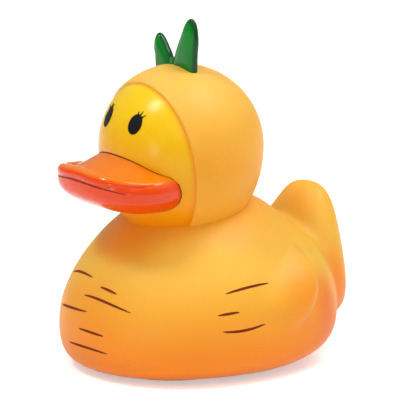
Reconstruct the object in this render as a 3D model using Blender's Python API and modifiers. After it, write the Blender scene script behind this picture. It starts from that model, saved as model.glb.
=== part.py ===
"""A soft vinyl bath duck dressed as a carrot.

One hollow rotocast shell carries the body, wings, tail, head, hood and bill. Two moulded green leaves plug
into the crown. A round base plate closes the casting's opening and holds a whistle squeaker.

The duck faces -Y, its left side is +X, and the origin is the middle of the base plate's underside.
"""

import math

import bmesh
import bpy
from mathutils import Matrix, Vector
from mathutils.bvhtree import BVHTree

MM = 0.001

# Shell and fits
WALL = 2.2 * MM
FIT_GAP = 0.3 * MM
REACH = 200.0 * MM
WELD = 0.01 * MM

# Body, an egg of stacked ovals: each row is height, front, back, half width
BODY_WIDEST_Y = 10.0 * MM
BODY_FOOT_Z = 0.6 * MM
BODY_CROWN_Z = 51.5 * MM
BODY_CROWN_Y = 10.0 * MM
BODY_SQUARENESS = 2.15
BODY_SEGMENTS = 14
BODY_ROWS = (
    (0.6 * MM, -28.0 * MM, 30.0 * MM, 28.5 * MM),
    (3.4 * MM, -32.8 * MM, 49.5 * MM, 37.0 * MM),
    (11.0 * MM, -34.2 * MM, 57.0 * MM, 38.8 * MM),
    (20.0 * MM, -33.0 * MM, 56.6 * MM, 38.5 * MM),
    (29.0 * MM, -28.3 * MM, 52.5 * MM, 35.2 * MM),
    (37.0 * MM, -22.0 * MM, 44.5 * MM, 29.8 * MM),
    (44.0 * MM, -14.5 * MM, 37.0 * MM, 23.5 * MM),
    (49.5 * MM, -5.0 * MM, 28.0 * MM, 15.5 * MM),
)

# Tail, a rounded paddle that rises out of the back, in rows like the body's
TAIL_FOOT = (38.0 * MM, 6.0 * MM)
TAIL_CROWN = (50.4 * MM, 49.8 * MM)
TAIL_POINTS = 12
TAIL_SQUARENESS = 2.2
TAIL_ROWS = (
    (10.0 * MM, 26.0 * MM, 54.0 * MM, 17.0 * MM),
    (18.0 * MM, 26.0 * MM, 59.0 * MM, 20.5 * MM),
    (28.0 * MM, 30.0 * MM, 59.2 * MM, 18.5 * MM),
    (37.0 * MM, 37.5 * MM, 57.8 * MM, 14.5 * MM),
    (43.6 * MM, 43.2 * MM, 56.4 * MM, 11.0 * MM),
    (48.4 * MM, 46.2 * MM, 54.2 * MM, 7.2 * MM),
)

# Wings, a lobe on each flank that starts flush and ends in a proud rear edge. Each row is the distance
# along the duck, outer face, thickness, lower edge and upper edge. Above WING_FOLD_Z a wing follows the
# body inward.
WING_FRONT = (33.0 * MM, 4.0 * MM, 22.0 * MM)
WING_REAR = (30.5 * MM, 33.4 * MM, 25.0 * MM)
WING_FOLD_Z = 20.0 * MM
WING_FOLD = 0.036 / MM
WING_POINTS = 12
WING_ROWS = (
    (8.0 * MM, 36.8 * MM, 6.0 * MM, 15.0 * MM, 29.0 * MM),
    (15.0 * MM, 38.2 * MM, 8.0 * MM, 12.0 * MM, 33.0 * MM),
    (22.0 * MM, 38.7 * MM, 9.0 * MM, 10.5 * MM, 36.5 * MM),
    (28.5 * MM, 38.0 * MM, 9.0 * MM, 11.5 * MM, 38.0 * MM),
    (32.4 * MM, 35.4 * MM, 7.0 * MM, 15.5 * MM, 35.5 * MM),
)

# Head, a ball that draws down into the neck
HEAD_CENTRE = (0.0, 3.4 * MM, 66.0 * MM)
HEAD_RADIUS = 24.8 * MM
HEAD_UP = 24.3 * MM
HEAD_DOWN = 30.0 * MM
HEAD_SEGMENTS = 36
HEAD_RINGS = 22
HOLLOW_SEGMENTS = 24
HOLLOW_RINGS = 14

# Face, the glossy front that the hood's rim stands proud of, parted by a leaning plane
FACE_STEP = 0.5 * MM
FACE_AHEAD = 10.6 * MM
FACE_LEAN = math.radians(8.0)

# Bill, counted from the head's centre: each row is distance ahead, half width, four heights of the top from
# the lip's edge to the middle, mouth line and underside
BILL_ROOT = (-6.0 * MM, -7.0 * MM)
BILL_TIP = (-38.4 * MM, -5.6 * MM)
BILL_POINTS = 16
BILL_ROWS = (
    (-10.5 * MM, 19.0 * MM, -5.0 * MM, -3.2 * MM, 1.2 * MM, 3.8 * MM, -9.5 * MM, -16.5 * MM),
    (-16.0 * MM, 20.6 * MM, -4.6 * MM, -3.4 * MM, 1.0 * MM, 3.6 * MM, -9.5 * MM, -17.6 * MM),
    (-23.5 * MM, 21.0 * MM, -4.2 * MM, -4.0 * MM, -0.2 * MM, 2.4 * MM, -9.2 * MM, -17.2 * MM),
    (-29.5 * MM, 19.6 * MM, -3.8 * MM, -4.8 * MM, -3.2 * MM, -2.0 * MM, -8.4 * MM, -15.4 * MM),
    (-34.0 * MM, 16.2 * MM, -3.0 * MM, -4.4 * MM, -4.4 * MM, -4.3 * MM, -7.2 * MM, -13.2 * MM),
    (-37.2 * MM, 10.0 * MM, -2.5 * MM, -2.2 * MM, -2.1 * MM, -2.1 * MM, -6.2 * MM, -10.6 * MM),
)
BILL_SQUARENESS = 2.5
BILL_SEGMENT_LEVELS = 1

# Mouth line, a groove round the front of the bill that runs out towards the corners
MOUTH_RADIUS = 0.65 * MM
MOUTH_HALF_TURN = math.radians(62.0)
MOUTH_PIVOT_AHEAD = 22.0 * MM
MOUTH_LINE_Z = -5.9 * MM
MOUTH_FALL = 2.2 * MM
MOUTH_POINTS = 13

# Eyes, thin raised ovals of paint on the face
EYE_HALF_WIDTH = 2.3 * MM
EYE_HALF_HEIGHT = 3.15 * MM
EYE_RELIEF = 0.25 * MM
EYE_LONGITUDE = math.radians(18.2)
EYE_LATITUDE = math.radians(24.0)
EYE_LEAN = math.radians(9.0)
EYE_POINTS = 20

# Carrot strokes, engraved in chest and flanks. Each has a start, a middle and an end, as the turn from
# the front line in degrees, towards the left side, and the height.
STROKE_RADIUS = 0.55 * MM
GROOVE_END = 0.25
STROKE_POINTS = 5
CHEST_STROKES = (
    ((-28.0, 27.6 * MM), (-17.0, 29.2 * MM), (-4.0, 29.3 * MM)),
    ((4.6, 27.6 * MM), (10.2, 27.3 * MM), (15.6, 26.7 * MM)),
    ((-4.0, 24.3 * MM), (9.0, 24.2 * MM), (25.0, 22.3 * MM)),
    ((-23.0, 18.7 * MM), (-12.0, 19.6 * MM), (1.3, 20.2 * MM)),
    ((-2.0, 14.9 * MM), (6.0, 14.8 * MM), (13.2, 14.5 * MM)),
    ((-10.0, 9.5 * MM), (3.0, 9.9 * MM), (15.3, 9.4 * MM)),
)
FLANK_STROKES = (
    ((67.7, 27.8 * MM), (79.4, 28.9 * MM), (92.3, 29.3 * MM)),
    ((63.4, 22.0 * MM), (68.5, 22.3 * MM), (73.7, 22.5 * MM)),
    ((65.4, 17.3 * MM), (75.3, 17.1 * MM), (86.5, 18.2 * MM)),
)

# Leaves, one sprig whose stem plugs into the crown: outlines across the head and up from its centre
LEAF_THICKNESS = 2.4 * MM
LEAF_BEVEL = 0.7 * MM
LEAF_Y = -0.3 * MM
LEAF_BASE_Z = 21.0 * MM
LARGE_LEAF = (
    (6.9 * MM, 21.0 * MM),
    (7.6 * MM, 27.0 * MM),
    (8.3 * MM, 33.0 * MM),
    (7.7 * MM, 37.4 * MM),
    (6.0 * MM, 39.6 * MM),
    (4.4 * MM, 38.2 * MM),
    (2.0 * MM, 33.8 * MM),
    (-0.6 * MM, 28.8 * MM),
    (-1.8 * MM, 25.0 * MM),
    (-2.4 * MM, 21.0 * MM),
)
SMALL_LEAF = (
    (-3.0 * MM, 21.0 * MM),
    (-3.9 * MM, 25.9 * MM),
    (-5.7 * MM, 28.8 * MM),
    (-7.4 * MM, 31.4 * MM),
    (-9.1 * MM, 32.8 * MM),
    (-10.7 * MM, 31.4 * MM),
    (-11.4 * MM, 28.6 * MM),
    (-10.8 * MM, 25.0 * MM),
    (-9.9 * MM, 21.0 * MM),
)
STEM_RADIUS = 2.5 * MM
STEM_LENGTH = 5.0 * MM
STEM_RISE = 0.9 * MM
STEM_X = -2.4 * MM
STEM_SEGMENTS = 24

# Base plate with the squeaker
PLATE_RADIUS = 21.5 * MM
PLATE_THICKNESS = 1.8 * MM
PLATE_SEGMENTS = 48
OPENING_RADIUS = 17.5 * MM
SPIGOT_WALL = 1.8 * MM
SPIGOT_HEIGHT = 4.0 * MM
SQUEAKER_Y = 8.5 * MM
SQUEAKER_RADIUS = 6.5 * MM
SQUEAKER_HEIGHT = 9.0 * MM
SQUEAKER_WALL = 1.0 * MM
SQUEAKER_RECESS = 0.6 * MM
SQUEAKER_SOUND_HOLE = 1.6 * MM
SQUEAKER_SEGMENTS = 32
SOUND_HOLE_SEGMENTS = 16
COLLAR_WALL = 1.5 * MM
COLLAR_HEIGHT = 5.0 * MM
REED_THICKNESS = 0.4 * MM
REED_WIDTH = 4.0 * MM
CAP_THICKNESS = 1.2 * MM

# Colours, as sRGB values from 0 to 1
ORANGE = (0.968, 0.690, 0.263)
LEAF_GREEN = (0.060, 0.440, 0.210)
IVORY = (0.900, 0.880, 0.820)
REED_STEEL = (0.780, 0.780, 0.760)


def linear(channel):
    """One sRGB channel as the linear value that a shader takes."""
    if channel <= 0.04045:
        return channel / 12.92
    return ((channel + 0.055) / 1.055) ** 2.4


def finish(name, colour, roughness, metallic=0.0):
    """A Principled material with one colour, roughness and metallic value."""
    material = bpy.data.materials.new(name)
    material.use_nodes = True
    shader = material.node_tree.nodes["Principled BSDF"]
    shader.inputs["Base Color"].default_value = (*(linear(c) for c in colour), 1.0)
    shader.inputs["Roughness"].default_value = roughness
    shader.inputs["Metallic"].default_value = metallic
    return material


def new_object(name, shape, collection, smooth=True):
    """An object in a collection, from a finished bmesh."""
    mesh = bpy.data.meshes.new(name)
    shape.to_mesh(mesh)
    shape.free()
    if smooth:
        mesh.shade_smooth()
    made = bpy.data.objects.new(name, mesh)
    collection.objects.link(made)
    return made


def superpower(value, squareness):
    """A sine or cosine drawn out towards a squarer oval."""
    return math.copysign(abs(value) ** (2.0 / squareness), value)


def oval(row, middle_y, points, squareness, inset=0.0):
    """One flat ring: an egg whose front and back halves meet at middle_y."""
    height, front, back, half_width = row
    ring = []
    for step in range(points):
        turn = 2.0 * math.pi * step / points
        across = superpower(math.cos(turn), squareness)
        along = superpower(math.sin(turn), squareness)
        reach = back - middle_y if along > 0.0 else middle_y - front
        ring.append(Vector((
            (half_width - inset) * across,
            middle_y + (reach - inset) * along,
            height,
        )))
    return ring


def ringed_ball(name, foot, rings, crown, collection, levels):
    """A sphere primitive whose poles and rings are moved to a foot, a stack of rings and a crown."""
    count = len(rings)
    points = len(rings[0])
    shape = bmesh.new()
    bmesh.ops.create_uvsphere(shape, u_segments=points, v_segments=count + 1, radius=1.0)
    for vert in shape.verts:
        level = round(math.acos(max(-1.0, min(1.0, -vert.co.z))) / math.pi * (count + 1))
        turn = math.atan2(vert.co.y, vert.co.x) / (2.0 * math.pi)
        if level == 0:
            vert.co = foot
        elif level == count + 1:
            vert.co = crown
        else:
            vert.co = rings[level - 1][round(turn * points) % points]
    made = new_object(name, shape, collection)
    smooth = made.modifiers.new("rounding", "SUBSURF")
    smooth.levels = levels
    smooth.render_levels = levels
    made.modifiers.new("flat_facets", "TRIANGULATE")
    return made


def body_form(name, collection, levels, inset=0.0):
    """The egg of the body, smaller all round by the inset."""
    rings = []
    for row in BODY_ROWS:
        height = row[0] + inset * (BODY_ROWS[3][0] - row[0]) / BODY_ROWS[3][0]
        rings.append(oval((height, *row[1:]), BODY_WIDEST_Y, BODY_SEGMENTS, BODY_SQUARENESS, inset))
    foot = Vector((0.0, 0.0, BODY_FOOT_Z + inset))
    crown = Vector((0.0, BODY_CROWN_Y, BODY_CROWN_Z - inset))
    return ringed_ball(name, foot, rings, crown, collection, levels)


def tail_form(name, collection, levels, inset=0.0):
    """The tail paddle."""
    rings = []
    for row in TAIL_ROWS[:-1] if inset else TAIL_ROWS:
        middle = 0.5 * (row[1] + row[2])
        rings.append(oval(row, middle, TAIL_POINTS, TAIL_SQUARENESS, inset))
    foot = Vector((0.0, TAIL_FOOT[0], TAIL_FOOT[1] + inset))
    crown = Vector((0.0, TAIL_CROWN[0], TAIL_CROWN[1] - inset))
    return ringed_ball(name, foot, rings, crown, collection, levels)


def head_form(name, collection, inset=0.0, segments=HEAD_SEGMENTS, rings=HEAD_RINGS):
    """The head ball, rounder above its middle and longer below."""
    shape = bmesh.new()
    bmesh.ops.create_uvsphere(shape, u_segments=segments, v_segments=rings, radius=1.0)
    for vert in shape.verts:
        tall = HEAD_UP if vert.co.z > 0.0 else HEAD_DOWN
        vert.co.x *= HEAD_RADIUS - inset
        vert.co.y *= HEAD_RADIUS - inset
        vert.co.z *= tall - inset
        vert.co += Vector(HEAD_CENTRE)
    return new_object(name, shape, collection)


def bill_section(row, inset=0.0):
    """One dished section of the bill, counted from its left side over the top."""
    ahead, half_width, *tops, mouth, under = row
    section = []
    for step in range(BILL_POINTS):
        turn = 2.0 * math.pi * step / BILL_POINTS
        across = superpower(math.cos(turn), BILL_SQUARENESS)
        if step == 0 or step == BILL_POINTS // 2:
            height = mouth
        elif step < BILL_POINTS // 2:
            height = tops[min(step, BILL_POINTS // 2 - step) - 1] - inset
        else:
            height = mouth + (under + inset - mouth) * superpower(-math.sin(turn), BILL_SQUARENESS)
        section.append(Vector(HEAD_CENTRE) + Vector(((half_width - inset) * across, ahead, height)))
    return section


def bill_form(name, collection, levels, inset=0.0):
    """The bill, a stack of dished sections from inside the head to the tip. Its inside stops short."""
    centre = Vector(HEAD_CENTRE)
    rows = BILL_ROWS[:-2] if inset else BILL_ROWS
    rings = [bill_section(row, inset) for row in rows]
    foot = centre + Vector((0.0, BILL_ROOT[0], BILL_ROOT[1]))
    tip = 0.5 * (rows[-1][0] + BILL_TIP[0]) if inset else BILL_TIP[0]
    crown = centre + Vector((0.0, tip, BILL_TIP[1] - inset))
    return ringed_ball(name, foot, rings, crown, collection, levels)


def wing_form(name, collection):
    """The left wing lobe, a stack of upright ovals from front to rear, mirrored to the right flank."""
    rings = []
    for along, outer, thickness, low, high in WING_ROWS:
        ring = []
        for step in range(WING_POINTS):
            turn = 2.0 * math.pi * step / WING_POINTS
            height = 0.5 * (low + high) + 0.5 * (high - low) * math.cos(turn)
            fold = WING_FOLD * max(0.0, height - WING_FOLD_Z) ** 2
            ring.append(Vector((
                outer - 0.5 * thickness * (1.0 - math.sin(turn)) - fold,
                along,
                height,
            )))
        rings.append(ring)
    wing = ringed_ball(name, Vector(WING_FRONT), rings, Vector(WING_REAR), collection, 1)
    mirror = wing.modifiers.new("both flanks", "MIRROR")
    mirror.use_mirror_merge = False
    return wing


def face_cutter(name, collection):
    """A block whose rear face is the leaning plane of the hood's opening."""
    shape = bmesh.new()
    bmesh.ops.create_cube(shape, size=2.0 * REACH)
    bmesh.ops.translate(shape, vec=(0.0, -REACH, 0.0), verts=shape.verts)
    bmesh.ops.rotate(shape, matrix=Matrix.Rotation(FACE_LEAN, 3, "X"), verts=shape.verts)
    place = Vector(HEAD_CENTRE) - Vector((0.0, FACE_AHEAD, 0.0))
    bmesh.ops.translate(shape, vec=place, verts=shape.verts)
    return new_object(name, shape, collection, smooth=False)


def eye_form(name, side, collection):
    """An eye: the part of a slightly larger face ball that lies inside a slim oval cylinder."""
    ball = head_form(name, collection, inset=FACE_STEP - EYE_RELIEF)
    shape = bmesh.new()
    bmesh.ops.create_cone(
        shape, cap_ends=True, segments=EYE_POINTS, radius1=1.0, radius2=1.0, depth=HEAD_RADIUS)
    bmesh.ops.scale(shape, vec=(EYE_HALF_WIDTH, EYE_HALF_HEIGHT, 1.0), verts=shape.verts)
    bmesh.ops.rotate(shape, matrix=Matrix.Rotation(-side * EYE_LEAN, 3, "Z"), verts=shape.verts)
    look = Vector((
        side * math.sin(EYE_LONGITUDE) * math.cos(EYE_LATITUDE),
        -math.cos(EYE_LONGITUDE) * math.cos(EYE_LATITUDE),
        math.sin(EYE_LATITUDE),
    ))
    bmesh.ops.rotate(shape, matrix=look.to_track_quat("Z", "Y").to_matrix(), verts=shape.verts)
    bmesh.ops.translate(shape, vec=Vector(HEAD_CENTRE) + look * HEAD_RADIUS, verts=shape.verts)
    tube = new_object(name + "_tube", shape, collection, smooth=False)
    combine(ball, tube, "INTERSECT")
    return ball


def hide(tool):
    """Marks a cutter or a building block."""
    tool.hide_render = True
    tool.display_type = "WIRE"


def combine(target, tool, operation):
    """A Boolean between two meshes, exact, kept as a modifier on the target."""
    step = target.modifiers.new(operation.lower() + "_" + tool.name, "BOOLEAN")
    step.operation = operation
    step.solver = "EXACT"
    step.object = tool
    hide(tool)


def cylinder(name, radius, low, high, middle, segments, collection):
    """An upright cylinder from one height to another."""
    shape = bmesh.new()
    bmesh.ops.create_cone(
        shape, cap_ends=True, segments=segments, radius1=radius, radius2=radius, depth=high - low)
    bmesh.ops.translate(shape, vec=(middle[0], middle[1], 0.5 * (low + high)), verts=shape.verts)
    return new_object(name, shape, collection, smooth=False)


def surface_of(item):
    """A search tree over an object's finished faces."""
    graph = bpy.context.evaluated_depsgraph_get()
    return BVHTree.FromObject(item, graph)


def groove(name, points, radius, collection):
    """A tapered four-sided rod along points, which cuts a shallow groove where it lies in a surface."""
    path = bpy.data.curves.new(name, "CURVE")
    path.dimensions = "3D"
    path.bevel_depth = radius
    path.bevel_resolution = 0
    path.use_fill_caps = True
    line = path.splines.new("POLY")
    line.points.add(len(points) - 1)
    for index, place in enumerate(points):
        line.points[index].co = (*place, 1.0)
        share = index / (len(points) - 1)
        swell = math.sin(math.pi * share) ** 0.5
        line.points[index].radius = GROOVE_END + (1.0 - GROOVE_END) * swell
    return curve_to_mesh(name, path, collection)


def curve_to_mesh(name, path, collection):
    """A curve's solid as a mesh object with its caps welded on."""
    guide = bpy.data.objects.new(name + "_guide", path)
    collection.objects.link(guide)
    bpy.context.view_layer.update()
    graph = bpy.context.evaluated_depsgraph_get()
    mesh = bpy.data.meshes.new_from_object(guide.evaluated_get(graph))
    bpy.data.objects.remove(guide, do_unlink=True)
    shape = bmesh.new()
    shape.from_mesh(mesh)
    bpy.data.meshes.remove(mesh)
    bmesh.ops.remove_doubles(shape, verts=shape.verts, dist=WELD)
    bmesh.ops.recalc_face_normals(shape, faces=shape.faces)
    return new_object(name, shape, collection, smooth=False)


def between(start, middle, end, share):
    """A place on the parabola through three places, at a share of the way from start to end."""
    first = (1.0 - share) * (1.0 - 2.0 * share)
    second = 4.0 * share * (1.0 - share)
    third = share * (2.0 * share - 1.0)
    return [first * a + second * b + third * c for a, b, c in zip(start, middle, end)]


def stroke_cutters(body, collection):
    """The carrot strokes, each a groove that follows the body: one set on the chest, one on each flank."""
    surface = surface_of(body)
    placed = [(1, stroke) for stroke in CHEST_STROKES]
    placed += [(side, stroke) for side in (1, -1) for stroke in FLANK_STROKES]
    made = []
    for number, (side, (start, middle, end)) in enumerate(placed):
        points = []
        for step in range(STROKE_POINTS):
            turn, height = between(start, middle, end, step / (STROKE_POINTS - 1))
            turn = math.radians(turn)
            outward = Vector((side * math.sin(turn), -math.cos(turn), 0.0))
            far = Vector((0.0, BODY_WIDEST_Y, height)) + outward * REACH
            points.append(surface.ray_cast(far, -outward)[0])
        made.append(groove(f"stroke_{number}", points, STROKE_RADIUS, collection))
    return made


def mouth_cutter(bill, collection):
    """The mouth groove, which follows the bill's front."""
    surface = surface_of(bill)
    points = []
    for step in range(MOUTH_POINTS):
        share = 2.0 * step / (MOUTH_POINTS - 1) - 1.0
        turn = MOUTH_HALF_TURN * share
        outward = Vector((math.sin(turn), -math.cos(turn), 0.0))
        pivot = Vector(HEAD_CENTRE)
        pivot += Vector((0.0, -MOUTH_PIVOT_AHEAD, MOUTH_LINE_Z - MOUTH_FALL * share * share))
        points.append(surface.ray_cast(pivot + outward * REACH, -outward)[0])
    return groove("mouth_groove", points, MOUTH_RADIUS, collection)


def hollow(collection):
    """The inside of the casting: smaller body, tail, head and bill, above a floor that seats the plate."""
    inside = body_form("hollow_body", collection, 1, WALL)
    combine(inside, tail_form("hollow_tail", collection, 1, WALL), "UNION")
    ball = head_form("hollow_head", collection, WALL + FACE_STEP, HOLLOW_SEGMENTS, HOLLOW_RINGS)
    combine(inside, ball, "UNION")
    combine(inside, bill_form("hollow_bill", collection, 0, WALL), "UNION")
    floor = cylinder(
        "hollow_floor", REACH, -REACH, PLATE_THICKNESS + FIT_GAP + WALL, (0.0, 0.0), 4, collection)
    combine(inside, floor, "DIFFERENCE")
    hide(inside)
    return inside


def duck_shell(parts, cutters):
    """The rotocast shell, hollow, with its hood rim, face, bill, wings and tail."""
    shell = body_form("duck_shell", parts, 2)
    bpy.context.view_layer.update()
    strokes = stroke_cutters(shell, cutters)
    bill = bill_form("bill_solid", cutters, BILL_SEGMENT_LEVELS)
    bpy.context.view_layer.update()
    combine(bill, mouth_cutter(bill, cutters), "DIFFERENCE")
    hood = head_form("hood_solid", cutters)
    combine(hood, face_cutter("face_opening", cutters), "DIFFERENCE")
    combine(shell, tail_form("tail_solid", cutters, 1), "UNION")
    combine(shell, wing_form("wing_solid", cutters), "UNION")
    combine(shell, hood, "UNION")
    combine(shell, head_form("face_solid", cutters, FACE_STEP), "UNION")
    combine(shell, bill, "UNION")
    for side in (1, -1):
        combine(shell, eye_form(f"eye_solid_{side}", side, cutters), "UNION")
    for stroke in strokes:
        combine(shell, stroke, "DIFFERENCE")
    combine(shell, hollow(cutters), "DIFFERENCE")
    seat = cylinder("plate_seat", PLATE_RADIUS + FIT_GAP, -REACH, PLATE_THICKNESS + FIT_GAP, (0.0, 0.0),
                    PLATE_SEGMENTS, cutters)
    combine(shell, seat, "DIFFERENCE")
    opening = cylinder("casting_opening", OPENING_RADIUS, -REACH, BODY_ROWS[3][0], (0.0, 0.0),
                       PLATE_SEGMENTS, cutters)
    combine(shell, opening, "DIFFERENCE")
    socket = cylinder("stem_socket", STEM_RADIUS + FIT_GAP, HEAD_CENTRE[2], REACH,
                      (STEM_X, HEAD_CENTRE[1] + LEAF_Y), STEM_SEGMENTS, cutters)
    combine(shell, socket, "DIFFERENCE")
    return shell


def leaf(name, outline, collection):
    """One thick leaf: a smooth flat outline across the head, drawn out to its thickness with round edges."""
    path = bpy.data.curves.new(name, "CURVE")
    path.dimensions = "2D"
    path.fill_mode = "BOTH"
    path.extrude = 0.5 * LEAF_THICKNESS - LEAF_BEVEL
    path.bevel_depth = LEAF_BEVEL
    path.bevel_resolution = 1
    path.offset = -LEAF_BEVEL
    path.resolution_u = 3
    line = path.splines.new("BEZIER")
    line.bezier_points.add(len(outline) - 1)
    line.use_cyclic_u = True
    for point, (x, z) in zip(line.bezier_points, outline):
        point.co = (x, z, 0.0)
        corner = z <= LEAF_BASE_Z
        point.handle_left_type = "VECTOR" if corner else "AUTO"
        point.handle_right_type = "VECTOR" if corner else "AUTO"
    made = curve_to_mesh(name, path, collection)
    upright = Matrix.Rotation(math.radians(90.0), 4, "X")
    place = Matrix.Translation(Vector(HEAD_CENTRE) + Vector((0.0, LEAF_Y, 0.0)))
    made.data.transform(place @ upright)
    return made


def leaf_tuft(parts, cutters):
    """The leaf sprig: two leaves and the stem in one moulding, fitted down on the crown."""
    top = HEAD_CENTRE[2] + LEAF_BASE_Z
    tuft = leaf("leaf_tuft", LARGE_LEAF, parts)
    combine(tuft, leaf("small_leaf_solid", SMALL_LEAF, cutters), "UNION")
    crown = head_form("crown_clearance", cutters, -FIT_GAP)
    combine(tuft, crown, "DIFFERENCE")
    stem = cylinder("stem_solid", STEM_RADIUS, top - STEM_LENGTH, HEAD_CENTRE[2] + HEAD_UP + STEM_RISE,
                    (STEM_X, HEAD_CENTRE[1] + LEAF_Y), STEM_SEGMENTS, cutters)
    combine(tuft, stem, "UNION")
    return tuft


def base_plate(parts, cutters):
    """The round vinyl plate: disc, spigot inside the shell's opening and collar round the squeaker."""
    plate = cylinder("base_plate", PLATE_RADIUS, 0.0, PLATE_THICKNESS, (0.0, 0.0), PLATE_SEGMENTS, parts)
    top = PLATE_THICKNESS + FIT_GAP + SPIGOT_HEIGHT
    outer = OPENING_RADIUS - FIT_GAP
    low = 0.5 * PLATE_THICKNESS
    spigot = cylinder("spigot_solid", outer, low, top, (0.0, 0.0), PLATE_SEGMENTS, cutters)
    bore = cylinder("spigot_bore", outer - SPIGOT_WALL, PLATE_THICKNESS, REACH, (0.0, 0.0),
                    PLATE_SEGMENTS, cutters)
    combine(spigot, bore, "DIFFERENCE")
    combine(plate, spigot, "UNION")
    hole_radius = SQUEAKER_RADIUS + FIT_GAP
    collar = cylinder("collar_solid", hole_radius + COLLAR_WALL, low, PLATE_THICKNESS + COLLAR_HEIGHT,
                      (0.0, SQUEAKER_Y), SQUEAKER_SEGMENTS, cutters)
    combine(plate, collar, "UNION")
    hole = cylinder("squeaker_hole", hole_radius, -REACH, REACH, (0.0, SQUEAKER_Y),
                    SQUEAKER_SEGMENTS, cutters)
    combine(plate, hole, "DIFFERENCE")
    return plate


def squeaker(parts, cutters):
    """The whistle: a cup with a sound hole, a reed across it and a vented cap below."""
    middle = (0.0, SQUEAKER_Y)
    low = SQUEAKER_RECESS
    high = low + SQUEAKER_HEIGHT
    inner = SQUEAKER_RADIUS - SQUEAKER_WALL
    body = cylinder("squeaker_body", SQUEAKER_RADIUS, low, high, middle, SQUEAKER_SEGMENTS, parts)
    bore = cylinder("squeaker_bore", inner, -REACH, high - SQUEAKER_WALL, middle, SQUEAKER_SEGMENTS, cutters)
    combine(body, bore, "DIFFERENCE")
    sound = cylinder("sound_hole", SQUEAKER_SOUND_HOLE, low, REACH, middle, SOUND_HOLE_SEGMENTS, cutters)
    combine(body, sound, "DIFFERENCE")
    cap = cylinder("squeaker_cap", inner - FIT_GAP, low, low + CAP_THICKNESS, middle,
                   SQUEAKER_SEGMENTS, parts)
    vent = cylinder("cap_vent", SQUEAKER_SOUND_HOLE, -REACH, REACH, middle, SOUND_HOLE_SEGMENTS, cutters)
    combine(cap, vent, "DIFFERENCE")
    shape = bmesh.new()
    bmesh.ops.create_cube(shape, size=1.0)
    length = 2.0 * math.sqrt((inner - FIT_GAP) ** 2 - (0.5 * REED_WIDTH) ** 2)
    bmesh.ops.scale(shape, vec=(REED_WIDTH, length, REED_THICKNESS), verts=shape.verts)
    height = high - SQUEAKER_WALL - FIT_GAP - 0.5 * REED_THICKNESS
    bmesh.ops.translate(shape, vec=(0.0, SQUEAKER_Y, height), verts=shape.verts)
    reed = new_object("squeaker_reed", shape, parts, smooth=False)
    return body, cap, reed


def main():
    for item in list(bpy.data.objects):
        bpy.data.objects.remove(item, do_unlink=True)
    parts = bpy.data.collections.new("carrot_duck")
    cutters = bpy.data.collections.new("cutters")
    for collection in (parts, cutters):
        bpy.context.scene.collection.children.link(collection)
    shell = duck_shell(parts, cutters)
    shell.data.materials.append(finish("orange vinyl", ORANGE, 0.45))
    tuft = leaf_tuft(parts, cutters)
    tuft.data.materials.append(finish("green vinyl", LEAF_GREEN, 0.2))
    plate = base_plate(parts, cutters)
    plate.data.materials.append(finish("plate vinyl", ORANGE, 0.5))
    body, cap, reed = squeaker(parts, cutters)
    ivory = finish("squeaker plastic", IVORY, 0.4)
    body.data.materials.append(ivory)
    cap.data.materials.append(ivory)
    reed.data.materials.append(finish("reed metal", REED_STEEL, 0.3, 1.0))


main()
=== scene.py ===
"""A soft vinyl bath duck dressed as a carrot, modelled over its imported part.

The duck faces -Y, its left side is +X, and it stands on the origin. Lengths are metres.
"""
import math

import bpy
from mathutils import Matrix, Vector
from mathutils.bvhtree import BVHTree


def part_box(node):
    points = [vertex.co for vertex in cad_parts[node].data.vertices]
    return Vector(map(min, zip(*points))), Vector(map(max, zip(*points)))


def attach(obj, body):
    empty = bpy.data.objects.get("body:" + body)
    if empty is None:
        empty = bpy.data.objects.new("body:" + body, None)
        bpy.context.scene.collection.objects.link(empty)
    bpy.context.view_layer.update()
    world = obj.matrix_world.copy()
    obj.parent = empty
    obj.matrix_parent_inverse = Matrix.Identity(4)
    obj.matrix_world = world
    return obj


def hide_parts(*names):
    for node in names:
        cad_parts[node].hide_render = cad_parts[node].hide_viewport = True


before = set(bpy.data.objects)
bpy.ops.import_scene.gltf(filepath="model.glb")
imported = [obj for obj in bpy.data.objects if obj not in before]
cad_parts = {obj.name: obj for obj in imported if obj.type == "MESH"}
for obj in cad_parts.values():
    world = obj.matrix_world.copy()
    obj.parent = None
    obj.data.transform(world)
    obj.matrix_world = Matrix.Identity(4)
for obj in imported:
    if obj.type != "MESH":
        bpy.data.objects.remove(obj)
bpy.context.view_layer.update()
MM = 0.001

# Camera
# A long lens from the duck's front left, a little above it. The view turns by the azimuth from the front
# towards the duck's left, and the aim is the point that the middle of the picture shows.
AZIMUTH = math.radians(54.5)
ELEVATION = math.radians(12.5)
CAMERA_DISTANCE = 1.5
FRAME_WIDTH = 119.4 * MM
AIM_RIGHT = 8.66 * MM
AIM_UP = 48.5 * MM

camera_back = Vector((
    math.sin(AZIMUTH) * math.cos(ELEVATION),
    -math.cos(AZIMUTH) * math.cos(ELEVATION),
    math.sin(ELEVATION),
))
camera_right = Vector((math.cos(AZIMUTH), math.sin(AZIMUTH), 0.0))
camera_up = camera_back.cross(camera_right)
aim = camera_right * AIM_RIGHT + camera_up * AIM_UP
bpy.ops.object.camera_add(location=aim + camera_back * CAMERA_DISTANCE)
camera = bpy.context.object
camera.rotation_euler = camera_back.to_track_quat("Z", "Y").to_euler()
camera.data.lens = camera.data.sensor_width * CAMERA_DISTANCE / FRAME_WIDTH
bpy.context.scene.camera = camera


# Orange vinyl
# Plasticised PVC, rotocast and then airbrushed. The skin is satin and lets light a little way in, so its
# shadows stay warm. Its deeper orange low down, round the neck, under the bill and behind the wings is partly
# the airbrush and partly painted shade, and its paler upper parts are partly painted light.
def paint(code):
    """A colour written as sRGB hex, as the linear colour that a shader takes."""
    channels = [int(code[start:start + 2], 16) / 255.0 for start in (1, 3, 5)]
    return (*(c / 12.92 if c <= 0.04045 else ((c + 0.055) / 1.055) ** 2.4 for c in channels), 1.0)


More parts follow.
